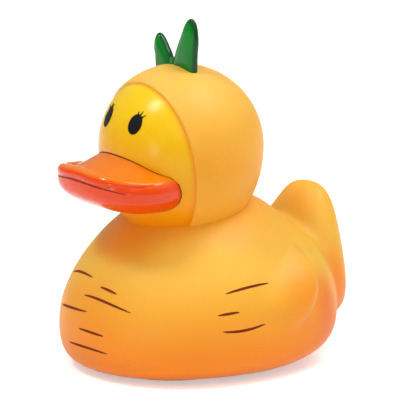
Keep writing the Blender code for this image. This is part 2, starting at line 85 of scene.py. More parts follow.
def new_material(name, settings):
    """A node material whose shader has these settings, and that shader."""
    material = bpy.data.materials.new(name)
    material.use_nodes = True
    made = material.node_tree.nodes["Principled BSDF"]
    for key, value in settings.items():
        made.inputs[key].default_value = value
    return material, made


def add_node(owner, kind, settings, links):
    """A node in a material or the world with its settings, and with links from other nodes' outputs."""
    node = owner.node_tree.nodes.new(kind)
    for key, value in settings.items():
        if isinstance(key, int) or key in node.inputs:
            node.inputs[key].default_value = value
        else:
            setattr(node, key, value)
    for key, source in links.items():
        owner.node_tree.links.new(source, node.inputs[key])
    return node


orange_vinyl, shader = new_material("orange_vinyl_airbrush_and_painted_shade", {
    "Roughness": 0.45,
    "Specular IOR Level": 0.35,
    "IOR": 1.45,
    "Subsurface Weight": 0.3,
    "Subsurface Radius": (1.0, 0.35, 0.1),
    "Subsurface Scale": 0.9 * MM,
})
place = add_node(orange_vinyl, "ShaderNodeTexCoord", {}, {})
axes = add_node(orange_vinyl, "ShaderNodeSeparateXYZ", {}, {0: place.outputs["Object"]})
# Up the height: deeper orange low and round the neck, paler above; partly airbrush, partly painted shade and
# light.
rise = add_node(orange_vinyl, "ShaderNodeMapRange", {"From Min": 0.0, "From Max": 100.0 * MM},
                {"Value": axes.outputs["Z"]})
base = add_node(orange_vinyl, "ShaderNodeValToRGB", {}, {"Fac": rise.outputs["Result"]})
height_shade_ramp = base.color_ramp
height_shade_ramp.elements[0].position = 0.02
height_shade_ramp.elements[0].color = paint("#F0820A")
height_shade_ramp.elements[1].position = 0.9
height_shade_ramp.elements[1].color = paint("#EEBA50")
for position, code in (
    (0.1, "#F28C0E"),
    (0.22, "#F0A62A"),
    (0.32, "#ECB63E"),
    (0.5, "#EEAC36"),
    (0.62, "#F0A220"),
    (0.76, "#EEB03C"),
):
    height_shade_ramp.elements.new(position).color = paint(code)
# Where the airbrush passed again and where painted shade is laid on, the same on both sides: middle of the
# mist, its reach each way in millimetres, colour and weight. They lie round the neck, under the bill, behind
# and on the wings, at the tail and low down, and are painted shade as well as airbrush. It is full within a
# tenth of the reach, and gone at one and a half of it.
SHADE_MIST_FULL = 0.1
SHADE_MIST_GONE = 1.5
SHADE_MISTS = (
    ((0.0, 3.0, 50.0), (24.0, 23.0, 10.5), "#FFA40C", 0.7),
    ((0.0, -21.0, 41.0), (18.0, 7.0, 6.0), "#FF9C0A", 0.75),
    ((36.0, 37.0, 19.0), (9.0, 8.5, 16.0), "#E25A10", 0.95),
    ((38.0, 23.0, 26.0), (8.0, 9.0, 15.0), "#F0860E", 0.6),
    ((18.0, 47.0, 20.0), (10.0, 10.0, 13.0), "#EC7A1A", 0.75),
    ((30.0, 40.0, 8.0), (20.0, 20.0, 11.0), "#EC7A18", 0.6),
    ((0.0, -36.0, 16.0), (20.0, 10.0, 22.0), "#F0841E", 0.4),
)
mirrored = add_node(orange_vinyl, "ShaderNodeVectorMath", {"operation": "ABSOLUTE"},
                    {0: place.outputs["Object"]})
halves = add_node(orange_vinyl, "ShaderNodeSeparateXYZ", {}, {0: mirrored.outputs["Vector"]})
spot = add_node(orange_vinyl, "ShaderNodeCombineXYZ", {},
                {"X": halves.outputs["X"], "Y": axes.outputs["Y"], "Z": axes.outputs["Z"]})
colour = base.outputs["Color"]
for middle, reach, code, weight in SHADE_MISTS:
    away = add_node(orange_vinyl, "ShaderNodeVectorMath",
                    {"operation": "SUBTRACT", 1: tuple(size * MM for size in middle)},
                    {0: spot.outputs["Vector"]})
    scaled = add_node(orange_vinyl, "ShaderNodeVectorMath",
                      {"operation": "DIVIDE", 1: tuple(size * MM for size in reach)},
                      {0: away.outputs["Vector"]})
    length = add_node(orange_vinyl, "ShaderNodeVectorMath", {"operation": "LENGTH"},
                      {0: scaled.outputs["Vector"]})
    cover = add_node(orange_vinyl, "ShaderNodeMapRange",
                     {"interpolation_type": "SMOOTHSTEP", "From Min": SHADE_MIST_FULL, "From Max": SHADE_MIST_GONE,
                      "To Min": weight, "To Max": 0.0}, {"Value": length.outputs["Value"]})
    shade_coat = add_node(orange_vinyl, "ShaderNodeMix", {"data_type": "RGBA", 7: paint(code)},
                    {0: cover.outputs["Result"], 6: colour})
    colour = shade_coat.outputs[2]
orange_vinyl.node_tree.links.new(colour, shader.inputs["Base Color"])
# The real grain is about 0.1 mm wide, too fine to show, so it is drawn coarser.
SPECKLE_WIDTH = 0.6 * MM
speckle = add_node(orange_vinyl, "ShaderNodeTexNoise", {"Scale": 1.0 / SPECKLE_WIDTH, "Detail": 2.0},
                   {"Vector": place.outputs["Object"]})
skin = add_node(orange_vinyl, "ShaderNodeBump", {"Strength": 0.06, "Distance": 0.1 * MM},
                {"Height": speckle.outputs["Fac"]})
orange_vinyl.node_tree.links.new(skin.outputs["Normal"], shader.inputs["Normal"])

# Body, tail and wings
# The lower half of the casting: a broad egg that rests flat, with an upright paddle of a tail and a lobe of
# a wing on each flank. They are one skin, so the joints are soft hollows and not seams, but a wing's rear
# edge stands up as a crescent. Each row is a ring: its height, front, back and half width in millimetres.
BODY_POINTS = 14
BODY_SQUARENESS = 2.15
BODY_WIDEST_Y = 10.0 * MM
BODY_FOOT = (0.0, 0.0, 0.6 * MM)
BODY_CROWN = (0.0, 10.0 * MM, 51.5 * MM)
BODY_ROWS = (
    (0.6, -28.0, 30.0, 28.5),
    (3.4, -32.8, 49.5, 37.0),
    (11.0, -34.2, 57.0, 38.8),
    (20.0, -33.0, 56.6, 38.5),
    (29.0, -28.3, 52.5, 35.2),
    (37.0, -22.0, 44.5, 29.8),
    (44.0, -14.5, 37.0, 23.5),
    (49.5, -5.0, 28.0, 15.5),
)
TAIL_POINTS = 12
TAIL_SQUARENESS = 2.2
TAIL_FOOT = (0.0, 38.0 * MM, 6.0 * MM)
TAIL_CROWN = (0.0, 50.4 * MM, 49.8 * MM)
TAIL_ROWS = (
    (10.0, 26.0, 57.0, 21.0),
    (18.0, 26.0, 59.2, 22.5),
    (28.0, 30.0, 59.2, 18.5),
    (37.0, 37.5, 57.8, 14.5),
    (43.6, 43.2, 56.4, 11.0),
    (48.4, 46.2, 54.2, 7.2),
)
# A wing's rings lie across it: how far back, outer face, thickness, lower edge and upper edge. Above the
# fold it leans in with the body.
WING_POINTS = 12
WING_FRONT = (33.0 * MM, 4.0 * MM, 22.0 * MM)
WING_REAR = (31.8 * MM, 30.2 * MM, 30.5 * MM)
WING_FOLD_Z = 20.0
WING_FOLD = 0.036
WING_ROWS = (
    (8.0, 36.8, 6.0, 14.0, 29.0),
    (15.0, 38.8, 8.0, 11.5, 33.0),
    (21.0, 39.7, 9.0, 14.5, 36.5),
    (24.6, 39.9, 9.0, 18.5, 38.5),
    (28.0, 38.6, 8.0, 22.0, 38.0),
)
ROUNDING_LEVELS = 4
SKIN_GRAIN = 0.75 * MM
JOINT_REACH = 5.0 * MM
WING_EDGE_Y = 20.0 * MM
JOINT_PASSES = 40
SKIN_PASSES = 8


def only(*items):
    """Leaves nothing selected but these objects, with the first one active."""
    bpy.ops.object.select_all(action="DESELECT")
    for item in items:
        item.select_set(True)
    bpy.context.view_layer.objects.active = items[0]


def apply_all(item):
    """Applies an object's modifiers in their order."""
    only(item)
    for modifier in list(item.modifiers):
        bpy.ops.object.modifier_apply(modifier=modifier.name)


def squarer(value, squareness):
    """A sine or cosine drawn out towards a squarer oval."""
    return math.copysign(abs(value) ** (2.0 / squareness), value)


def oval(row, middle, points, squareness):
    """One flat ring of a form, whose front and back halves meet at the middle."""
    height, front, back, half_width = (size * MM for size in row)
    ring = []
    for step in range(points):
        turn = 2.0 * math.pi * step / points
        along = squarer(math.sin(turn), squareness)
        reach = back - middle if along > 0.0 else middle - front
        across = squarer(math.cos(turn), squareness)
        ring.append(Vector((half_width * across, middle + reach * along, height)))
    return ring


def drawn_ball(name, foot, rings, crown, levels):
    """A ball whose poles and rings are drawn out to a form, and rounded by subdivision."""
    points = len(rings[0])
    bpy.ops.mesh.primitive_uv_sphere_add(segments=points, ring_count=len(rings) + 1, radius=1.0)
    made = bpy.context.object
    made.name = name
    for vert in made.data.vertices:
        level = round(math.acos(max(-1.0, min(1.0, -vert.co.z))) / math.pi * (len(rings) + 1))
        turn = math.atan2(vert.co.y, vert.co.x) / (2.0 * math.pi)
        if level == 0:
            vert.co = foot
        elif level == len(rings) + 1:
            vert.co = crown
        else:
            vert.co = rings[level - 1][round(turn * points) % points]
    rounding = made.modifiers.new("rounding", "SUBSURF")
    rounding.levels = levels
    rounding.render_levels = levels
    apply_all(made)
    return made


def surface_of(item):
    """A search tree over an object's faces."""
    return BVHTree.FromObject(item, bpy.context.evaluated_depsgraph_get())


def combine(item, tool, operation):
    """A Boolean between two closed meshes, applied. The tool's faces keep their own material."""
    step = item.modifiers.new(operation.lower(), "BOOLEAN")
    step.operation = operation
    step.solver = "MANIFOLD"
    step.material_mode = "TRANSFER"
    step.object = tool
    apply_all(item)
    bpy.data.objects.remove(tool, do_unlink=True)


body_rings = [oval(row, BODY_WIDEST_Y, BODY_POINTS, BODY_SQUARENESS) for row in BODY_ROWS]
body = drawn_ball("body", BODY_FOOT, body_rings, BODY_CROWN, ROUNDING_LEVELS)
tail_rings = [oval(row, 0.5 * (row[1] + row[2]) * MM, TAIL_POINTS, TAIL_SQUARENESS) for row in TAIL_ROWS]
tail = drawn_ball("tail", TAIL_FOOT, tail_rings, TAIL_CROWN, ROUNDING_LEVELS)
wing_rings = []
for along, outer, thickness, low, high in WING_ROWS:
    ring = []
    for step in range(WING_POINTS):
        turn = 2.0 * math.pi * step / WING_POINTS
        height = 0.5 * (low + high) + 0.5 * (high - low) * math.cos(turn)
        fold = WING_FOLD * max(0.0, height - WING_FOLD_Z) ** 2
        ring.append(Vector((outer - 0.5 * thickness * (1.0 - math.sin(turn)) - fold, along, height)) * MM)
    wing_rings.append(ring)
wings = drawn_ball("wings", WING_FRONT, wing_rings, WING_REAR, ROUNDING_LEVELS)
wings.modifiers.new("both flanks", "MIRROR").use_mirror_merge = False
apply_all(wings)
surfaces = [surface_of(item) for item in (body, tail, wings)]
only(body, tail, wings)
bpy.ops.object.join()
one_skin = body.modifiers.new("one skin", "REMESH")
one_skin.mode = "VOXEL"
one_skin.voxel_size = SKIN_GRAIN
apply_all(body)
joints = body.vertex_groups.new(name="joints")
for vert in body.data.vertices:
    near_body, near_tail, near_wing = (surface.find_nearest(vert.co)[3] for surface in surfaces)
    tail_weight = 1.0 - max(near_body, near_tail) / JOINT_REACH
    wing_weight = 1.0 - max(near_body, near_wing) / JOINT_REACH
    wing_weight *= max(0.0, min(1.0, (WING_EDGE_Y - vert.co.y) / JOINT_REACH))
    if max(tail_weight, wing_weight) > 0.0:
        joints.add([vert.index], max(tail_weight, wing_weight), "REPLACE")
for passes, group in ((JOINT_PASSES, "joints"), (SKIN_PASSES, "")):
    smoothing = body.modifiers.new("softened", "SMOOTH")
    smoothing.factor = 0.5
    smoothing.iterations = passes
    smoothing.vertex_group = group
apply_all(body)
body.data.materials.clear()
body.data.materials.append(orange_vinyl)

# Hood
# The upper half of the casting, a ball that draws down into the neck, in the same satin orange as the body.
# It is the carrot's skin round the face, and ends in a rounded rim that stands half a millimetre proud of it.
HEAD_CENTRE = Vector((0.0, 3.4 * MM, 66.0 * MM))
HEAD_RADIUS = 24.8 * MM
HEAD_UP = 24.3 * MM
HEAD_DOWN = 30.0 * MM
HEAD_SEGMENTS = 128
HEAD_RINGS = 80
FACE_STEP = 0.5 * MM
FACE_AHEAD = 10.6 * MM
FACE_LEAN = math.radians(8.0)
RIM_ROUND = 0.55 * MM
RIM_TANGENT = 0.43
RIM_POINTS = 180
RIM_SIDES = 20


def head_ball(name, inset):
    """The head's ball, smaller all round by the inset: rounder above its middle and longer below."""
    bpy.ops.mesh.primitive_uv_sphere_add(segments=HEAD_SEGMENTS, ring_count=HEAD_RINGS, radius=1.0)
    made = bpy.context.object
    made.name = name
    for vert in made.data.vertices:
        tall = HEAD_UP if vert.co.z > 0.0 else HEAD_DOWN
        vert.co.x *= HEAD_RADIUS - inset
        vert.co.y *= HEAD_RADIUS - inset
        vert.co.z *= tall - inset
        vert.co += HEAD_CENTRE
    made.data.update()
    return made


def face_outward(item):
    """Turns all faces of a closed mesh outward."""
    only(item)
    bpy.ops.object.mode_set(mode="EDIT")
    bpy.ops.mesh.select_all(action="SELECT")
    bpy.ops.mesh.normals_make_consistent(inside=False)
    bpy.ops.object.mode_set(mode="OBJECT")


def seated_ring(name, seats, right, up, facing, radius, sides):
    """A round rod through a closed ring of seats, bent from a torus that lies across the way it faces."""
    thickness = 0.1
    bpy.ops.mesh.primitive_torus_add(major_segments=len(seats), minor_segments=sides, major_radius=1.0,
                                     minor_radius=thickness)
    made = bpy.context.object
    made.name = name
    for vert in made.data.vertices:
        flat = Vector((vert.co.x, vert.co.y))
        turn = math.atan2(flat.y, flat.x) / (2.0 * math.pi)
        seat = seats[round(turn * len(seats)) % len(seats)]
        outward = right * (flat.x / flat.length) + up * (flat.y / flat.length)
        vert.co = seat + (outward * (flat.length - 1.0) + facing * vert.co.z) * (radius / thickness)
    made.data.update()
    face_outward(made)
    made.data.materials.clear()
    return made


rim_point = HEAD_CENTRE - Vector((0.0, FACE_AHEAD, 0.0))
rim_normal = Vector((0.0, -math.cos(FACE_LEAN), -math.sin(FACE_LEAN)))
hood = head_ball("hood", 0.0)
only(hood)
bpy.ops.object.mode_set(mode="EDIT")
bpy.ops.mesh.select_all(action="SELECT")
bpy.ops.mesh.bisect(plane_co=rim_point - rim_normal * (RIM_ROUND * (1.0 - RIM_TANGENT)), plane_no=rim_normal,
                    clear_outer=True, use_fill=True)
bpy.ops.object.mode_set(mode="OBJECT")
inner_ball = head_ball("inner_ball", RIM_ROUND)
inner_surface = surface_of(inner_ball)
bpy.data.objects.remove(inner_ball, do_unlink=True)
duck_left = Vector((1.0, 0.0, 0.0))
rim_up = rim_normal.cross(duck_left)
rim_middle = rim_point - rim_normal * RIM_ROUND
rim_seats = []
for step in range(RIM_POINTS):
    turn = 2.0 * math.pi * step / RIM_POINTS
    outward = duck_left * math.cos(turn) + rim_up * math.sin(turn)
    rim_seats.append(inner_surface.ray_cast(rim_middle, outward)[0])
combine(hood, seated_ring("rim", rim_seats, duck_left, rim_up, rim_normal, RIM_ROUND, RIM_SIDES), "UNION")
hood.data.materials.clear()
hood.data.materials.append(orange_vinyl)

# Face
# The front of the head inside the rim. It is sprayed a glossy golden yellow, so a soft round highlight lies
# on the brow. The yellow turns orange towards the neck, and a band of painted shade turns it orange along the
# groove at the rim.
FACE_LOW_Z = 40.0 * MM
FACE_HIGH_Z = 91.0 * MM
RIM_SHADE_WIDTH = 1.5 * MM

glossy_yellow, shader = new_material("glossy_yellow_face_paint", {
    "Roughness": 0.26,
    "Specular IOR Level": 0.3,
    "IOR": 1.45,
    "Subsurface Weight": 0.25,
    "Subsurface Radius": (1.0, 0.5, 0.1),
    "Subsurface Scale": 0.9 * MM,
})
place = add_node(glossy_yellow, "ShaderNodeTexCoord", {}, {})
axes = add_node(glossy_yellow, "ShaderNodeSeparateXYZ", {}, {0: place.outputs["Object"]})
rise = add_node(glossy_yellow, "ShaderNodeMapRange", {"From Min": FACE_LOW_Z, "From Max": FACE_HIGH_Z},
                {"Value": axes.outputs["Z"]})
blend = add_node(glossy_yellow, "ShaderNodeValToRGB", {}, {"Fac": rise.outputs["Result"]})
blend.color_ramp.elements[0].position = 0.04
blend.color_ramp.elements[0].color = paint("#F08A05")
blend.color_ramp.elements[1].position = 1.0
blend.color_ramp.elements[1].color = paint("#ECC814")
for position, code in ((0.25, "#F2A004"), (0.5, "#F0B402"), (0.75, "#EEC008")):
    blend.color_ramp.elements.new(position).color = paint(code)
# A band of painted shade along the rim, where the face drops into the groove under the hood's edge.
ahead = add_node(glossy_yellow, "ShaderNodeVectorMath", {"operation": "SUBTRACT", 1: rim_point},
                 {0: place.outputs["Object"]})
depth = add_node(glossy_yellow, "ShaderNodeVectorMath", {"operation": "DOT_PRODUCT", 1: rim_normal},
                 {0: ahead.outputs["Vector"]})
rim_groove_shade = add_node(glossy_yellow, "ShaderNodeMapRange",
                    {"interpolation_type": "SMOOTHSTEP", "From Min": -0.1 * MM, "From Max": RIM_SHADE_WIDTH,
                     "To Min": 0.75, "To Max": 0.0}, {"Value": depth.outputs["Value"]})
groove_shaded = add_node(glossy_yellow, "ShaderNodeMix", {"data_type": "RGBA", 7: paint("#E98A0C")},
                 {0: rim_groove_shade.outputs["Result"], 6: blend.outputs["Color"]})
glossy_yellow.node_tree.links.new(groove_shaded.outputs[2], shader.inputs["Base Color"])

face = head_ball("face", FACE_STEP)
face.data.materials.append(glossy_yellow)
combine(hood, face, "UNION")

# Bill
# A broad duck's bill in the same casting, sprayed glossy red orange, so its rolled lip carries a bright line.
# The top is dished behind the lip, the mouth is a line round the front, and the underside is round. Each row
# is a ring: how far ahead, half width, four heights of the top from the edge in, the mouth and the underside.
BILL_POINTS = 16
BILL_ROOT = Vector((0.0, -6.0 * MM, -7.0 * MM))
BILL_TIP = Vector((0.0, -37.9 * MM, -6.9 * MM))
BILL_ROWS = (
    (-10.5, 19.0, -5.2, -4.0, 1.2, 3.8, -9.5, -16.5),
    (-16.0, 20.6, -4.9, -4.2, 0.6, 3.4, -9.5, -17.6),
    (-23.5, 21.0, -5.0, -5.2, -0.8, 2.0, -9.2, -17.2),
    (-29.5, 19.4, -5.2, -6.1, -4.0, -2.6, -8.6, -15.4),
    (-34.0, 15.4, -4.2, -5.2, -5.4, -5.2, -7.8, -13.2),
    (-36.9, 10.0, -4.0, -3.4, -3.4, -3.4, -7.0, -11.0),
)
LIP_RADIUS = 2.2 * MM
LIP_SINK = 1.75 * MM
LIP_LIFT = 0.4 * MM
LIP_PIVOT = Vector((0.0, -22.0 * MM, -4.9 * MM))
LIP_HALF_TURN = math.radians(101.0)
LIP_STEPS = 28
LIP_FALL = 2.0 * MM
BILL_SQUARENESS = 2.5
MOUTH_RADIUS = 0.36 * MM
ROOT_LINE = 0.26 * MM
ROOT_POINTS = 60
ROOT_SIDES = 10
ROOT_REACH = 23.0 * MM
ROOT_HALVINGS = 16
ROD_END = 0.25
OUTSIDE = 200.0 * MM
MOUTH_HALF_TURN = math.radians(62.0)
MOUTH_STEPS = 16
MOUTH_PIVOT = Vector((0.0, -22.0 * MM, -5.9 * MM))
MOUTH_FALL = 2.2 * MM

glossy_red, shader = new_material("glossy_red_orange_bill_paint", {
    "Roughness": 0.12,
    "Specular IOR Level": 0.4,
    "IOR": 1.45,
    "Subsurface Weight": 0.2,
    "Subsurface Radius": (1.0, 0.2, 0.05),
    "Subsurface Scale": 0.9 * MM,
})
# Faces that turn upward are painted a lighter orange than the red sides: painted light on the bill's top and
# lip.
place = add_node(glossy_red, "ShaderNodeTexCoord", {}, {})
facing = add_node(glossy_red, "ShaderNodeNewGeometry", {}, {})
lean = add_node(glossy_red, "ShaderNodeSeparateXYZ", {}, {0: facing.outputs["Normal"]})
lit_upward = add_node(glossy_red, "ShaderNodeMapRange", {"From Min": 0.35, "From Max": 0.85},
                  {"Value": lean.outputs["Z"]})
lit_top_tone = add_node(glossy_red, "ShaderNodeMix", {"data_type": "RGBA", 6: paint("#E84400"), 7: paint("#E67A0C")},
                {0: lit_upward.outputs["Result"]})
glossy_red.node_tree.links.new(lit_top_tone.outputs[2], shader.inputs["Base Color"])

bill_rings = []
for ahead, half_width, *tops, mouth, under in BILL_ROWS:
    ring = []
    for step in range(BILL_POINTS):
        turn = 2.0 * math.pi * step / BILL_POINTS
        across = squarer(math.cos(turn), BILL_SQUARENESS)
        if step in (0, BILL_POINTS // 2):
            height = mouth
        elif step < BILL_POINTS // 2:
            height = tops[min(step, BILL_POINTS // 2 - step) - 1]
        else:
            height = mouth + (under - mouth) * squarer(-math.sin(turn), BILL_SQUARENESS)
        ring.append(HEAD_CENTRE + Vector((half_width * across, ahead, height)) * MM)
    bill_rings.append(ring)
bill = drawn_ball("bill", HEAD_CENTRE + BILL_ROOT, bill_rings, HEAD_CENTRE + BILL_TIP, ROUNDING_LEVELS - 1)
bill.data.materials.append(glossy_red)


def tapered_rod(name, points, radius):
    """A round rod along points, thin at both ends, which cuts a stroke or raises a ridge."""
    path = bpy.data.curves.new(name, "CURVE")
    path.dimensions = "3D"
    path.bevel_depth = radius
    path.bevel_resolution = 5
    path.use_fill_caps = True
    line = path.splines.new("POLY")
    line.points.add(len(points) - 1)
    for index, spot in enumerate(points):
        line.points[index].co = (*spot, 1.0)
        share = index / (len(points) - 1)
        line.points[index].radius = ROD_END + (1.0 - ROD_END) * math.sin(math.pi * share) ** 0.5
    made = bpy.data.objects.new(name, path)
    bpy.context.scene.collection.objects.link(made)
    only(made)
    bpy.ops.object.convert(target="MESH")
    made = bpy.context.object
    bpy.ops.object.mode_set(mode="EDIT")
    bpy.ops.mesh.select_all(action="SELECT")
    bpy.ops.mesh.remove_doubles(threshold=0.01 * MM)
    bpy.ops.object.mode_set(mode="OBJECT")
    face_outward(made)
    made.data.materials.clear()
    return made


# The mouth's groove and the crease where the bill leaves the face are painted a dark red: painted shade in
# them.
mouth_paint, _ = new_material("shaded_red_mouth_line", {
    "Base Color": paint("#A82C06"),
    "Roughness": 0.4,
})
bill_surface = surface_of(bill)
lip_points = []
for step in range(2 * LIP_STEPS + 1):
    share = step / LIP_STEPS - 1.0
    turn = LIP_HALF_TURN * share
    outward = Vector((math.sin(turn), -math.cos(turn), 0.0))
    pivot = HEAD_CENTRE + LIP_PIVOT
    pivot.z -= LIP_FALL * math.sin(0.75 * math.pi * share * share)
    edge = bill_surface.ray_cast(pivot + outward * OUTSIDE, -outward)[0]
    lip_points.append(edge - outward * LIP_SINK + Vector((0.0, 0.0, LIP_LIFT)))
lip = tapered_rod("lip", lip_points, LIP_RADIUS)
lip.data.materials.append(glossy_red)
combine(bill, lip, "UNION")
bill_surface = surface_of(bill)
mouth_points = []
for step in range(2 * MOUTH_STEPS + 1):
    share = step / MOUTH_STEPS - 1.0
    turn = MOUTH_HALF_TURN * share
    outward = Vector((math.sin(turn), -math.cos(turn), 0.0))
    pivot = HEAD_CENTRE + MOUTH_PIVOT - Vector((0.0, 0.0, MOUTH_FALL * share * share))
    mouth_points.append(bill_surface.ray_cast(pivot + outward * OUTSIDE, -outward)[0])
mouth_line = tapered_rod("mouth_line", mouth_points, MOUTH_RADIUS)
mouth_line.data.materials.append(mouth_paint)
combine(bill, mouth_line, "DIFFERENCE")
# The line where the bill leaves the face: on each ray over the face, halving finds where the bill ends.
root_seats = []
for step in range(ROOT_POINTS):
    turn = 2.0 * math.pi * step / ROOT_POINTS
    near, far = 0.0, 1.0
    for _ in range(ROOT_HALVINGS):
        share = 0.5 * (near + far)
        x = ROOT_REACH * share * math.cos(turn)
        z = BILL_ROOT.z + ROOT_REACH * share * math.sin(turn)
        tall = (HEAD_UP if z > 0.0 else HEAD_DOWN) - FACE_STEP
        wide = HEAD_RADIUS - FACE_STEP
        ahead = wide * math.sqrt(max(0.0, 1.0 - (x / wide) ** 2 - (z / tall) ** 2))
        spot = HEAD_CENTRE + Vector((x, -ahead, z))
        nearest, normal = bill_surface.find_nearest(spot)[:2]
        if (spot - nearest).dot(normal) < 0.0:
            near = share
        else:
            far = share
    root_seats.append(spot)
combine(hood, bill, "UNION")
root_line = seated_ring("root_line", root_seats, duck_left, Vector((0.0, 0.0, 1.0)), Vector((0.0, -1.0, 0.0)),
                        ROOT_LINE, ROOT_SIDES)
root_line.data.materials.append(mouth_paint)
combine(hood, root_line, "DIFFERENCE")

# Eyes and lashes
# Slim leaning ovals of satin black ink, pad printed on the face and a hair proud of it, with three short
# lashes at the top of each. The ink is duller than the yellow, so it stays dark in the light. A lash runs from
# a start to an end beside the eye's middle, and is drawn deeper than it is wide to pass through the skin.
EYE_HALF_WIDTH = 2.3 * MM
EYE_HALF_HEIGHT = 3.15 * MM
EYE_RELIEF = 0.15 * MM
EYE_LONGITUDE = math.radians(18.2)
EYE_LATITUDE = math.radians(24.0)
EYE_LEAN = math.radians(9.0)
PRINT_DEPTH = 12.0 * MM
LASH_RADII = (0.3 * MM, 0.12 * MM)
LASH_DEEPER = 8.0
LASHES = (
    ((-0.2, 2.6), (-0.6, 4.1)),
    ((0.4, 2.7), (0.9, 4.5)),
    ((1.2, 2.3), (2.3, 3.6)),
)

black_paint, _ = new_material("satin_black_eye_print", {
    "Base Color": paint("#100E10"),
    "Roughness": 0.45,
    "Specular IOR Level": 0.3,
    "IOR": 1.35,
})
for side in (1, -1):
    look = Vector((
        side * math.sin(EYE_LONGITUDE) * math.cos(EYE_LATITUDE),
        -math.cos(EYE_LONGITUDE) * math.cos(EYE_LATITUDE),
        math.sin(EYE_LATITUDE),
    ))
    turn = look.to_track_quat("Z", "Y").to_matrix().to_4x4() @ Matrix.Rotation(-side * EYE_LEAN, 4, "Z")
    seat = Matrix.Translation(HEAD_CENTRE + look * HEAD_RADIUS) @ turn
    bpy.ops.mesh.primitive_cylinder_add(vertices=64, radius=1.0, depth=PRINT_DEPTH)
    eye = bpy.context.object
    eye.name = "eye"
    eye.data.transform(seat @ Matrix.Diagonal((EYE_HALF_WIDTH, EYE_HALF_HEIGHT, 1.0, 1.0)))
    eye.data.materials.append(black_paint)
    for low, high in LASHES:
        start = Vector((side * low[0], low[1], 0.0)) * MM
        end = Vector((side * high[0], high[1], 0.0)) * MM
        bpy.ops.mesh.primitive_cone_add(vertices=16, radius1=LASH_RADII[0], radius2=LASH_RADII[1],
                                        depth=(end - start).length)
        lash = bpy.context.object
        lash.name = "lash"
        along = (end - start).to_track_quat("Z", "Y").to_matrix().to_4x4()
        lash.data.transform(Matrix.Diagonal((1.0, 1.0, LASH_DEEPER, 1.0))
                            @ Matrix.Translation(0.5 * (start + end)) @ along)
        lash.data.transform(seat)
        lash.data.materials.append(black_paint)
        combine(eye, lash, "UNION")
    print_skin = head_ball("print_skin", FACE_STEP - EYE_RELIEF)
    print_skin.data.materials.append(black_paint)
    combine(print_skin, eye, "INTERSECT")
    combine(hood, print_skin, "UNION")

# Carrot strokes
# Short engraved lines across the breast and the flanks, like the rings of a carrot, each wiped with thin
# brown paint that dries dull. A stroke runs through three places, each the turn in degrees from the front
# towards the duck's left and the height in millimetres.
STROKE_RADIUS = 0.42 * MM
STROKE_STEPS = 16
CHEST_STROKES = (
    ((-28.0, 27.6), (-17.0, 29.2), (-4.0, 29.3)),
    ((4.6, 27.6), (10.2, 27.3), (15.6, 26.7)),
    ((-4.0, 24.3), (9.0, 24.2), (25.0, 22.3)),
    ((-23.0, 18.7), (-12.0, 19.6), (1.3, 20.2)),
    ((-2.0, 14.9), (6.0, 14.8), (13.2, 14.5)),
    ((-10.0, 9.5), (3.0, 9.9), (15.3, 9.4)),
)
FLANK_STROKES = (
    ((67.7, 27.8), (79.4, 28.9), (92.3, 29.3)),
    ((63.4, 22.0), (68.5, 22.3), (73.7, 22.5)),
    ((65.4, 17.3), (75.3, 17.1), (86.5, 18.2)),
)
brown_paint, _ = new_material("thin_brown_stroke_paint", {
    "Base Color": paint("#8E2A08"),
    "Roughness": 0.6,
    "IOR": 1.35,
})

skin_surface = surface_of(body)
placed = [(1, stroke) for stroke in CHEST_STROKES]
placed += [(side, stroke) for side in (1, -1) for stroke in FLANK_STROKES]
for side, (start, middle, end) in placed:
    points = []
    for step in range(STROKE_STEPS + 1):
        share = step / STROKE_STEPS
        weights = (
            (1.0 - share) * (1.0 - 2.0 * share),
            4.0 * share * (1.0 - share),
            share * (2.0 * share - 1.0),
        )
        turn = math.radians(sum(w * spot[0] for w, spot in zip(weights, (start, middle, end))))
        height = sum(w * spot[1] for w, spot in zip(weights, (start, middle, end))) * MM
        outward = Vector((side * math.sin(turn), -math.cos(turn), 0.0))
        far = Vector((0.0, BODY_WIDEST_Y, height)) + outward * OUTSIDE
        points.append(skin_surface.ray_cast(far, -outward)[0])
    stroke = tapered_rod("stroke", points, STROKE_RADIUS)
    stroke.data.materials.append(brown_paint)
    combine(body, stroke, "DIFFERENCE")

# The casting
# Head and body meet in one crisp crease at the neck. The skin is 2.2 mm thick round a hollow, and thicker
# where the tail joins. Its underside has the round opening that the base plate closes, and the crown has the
# hole that the leaves plug into. Both walls are in millimetres, like the body's rows.
WALL = 2.2
TAIL_WALL = 5.0
PLATE_THICKNESS = 1.8 * MM
FIT_GAP = 0.3 * MM
OPENING_RADIUS = 17.5 * MM
STEM_RADIUS = 1.5 * MM
STEM_GAP = 0.1 * MM
STEM_X = -2.4 * MM
LEAF_Y = -0.3 * MM
SKIN_CREASE = math.radians(38.0)

combine(body, hood, "UNION")
foot, crown = BODY_FOOT[2] / MM, BODY_CROWN[2] / MM
flatter = 1.0 - 2.0 * WALL / (crown - foot)
hollow_rings = []
for height, front, back, half_width in BODY_ROWS[1:-1]:
    row = (foot + WALL + (height - foot) * flatter, front + WALL, back - TAIL_WALL, half_width - WALL)
    hollow_rings.append(oval(row, BODY_WIDEST_Y, BODY_POINTS, BODY_SQUARENESS))
wall_up = Vector((0.0, 0.0, WALL * MM))
hollow = drawn_ball("hollow", Vector(BODY_FOOT) + wall_up, hollow_rings, Vector(BODY_CROWN) - wall_up,
                    ROUNDING_LEVELS - 1)
combine(hollow, head_ball("head_hollow", FACE_STEP + WALL * MM), "UNION")
plate_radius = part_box("base_plate")[1].x
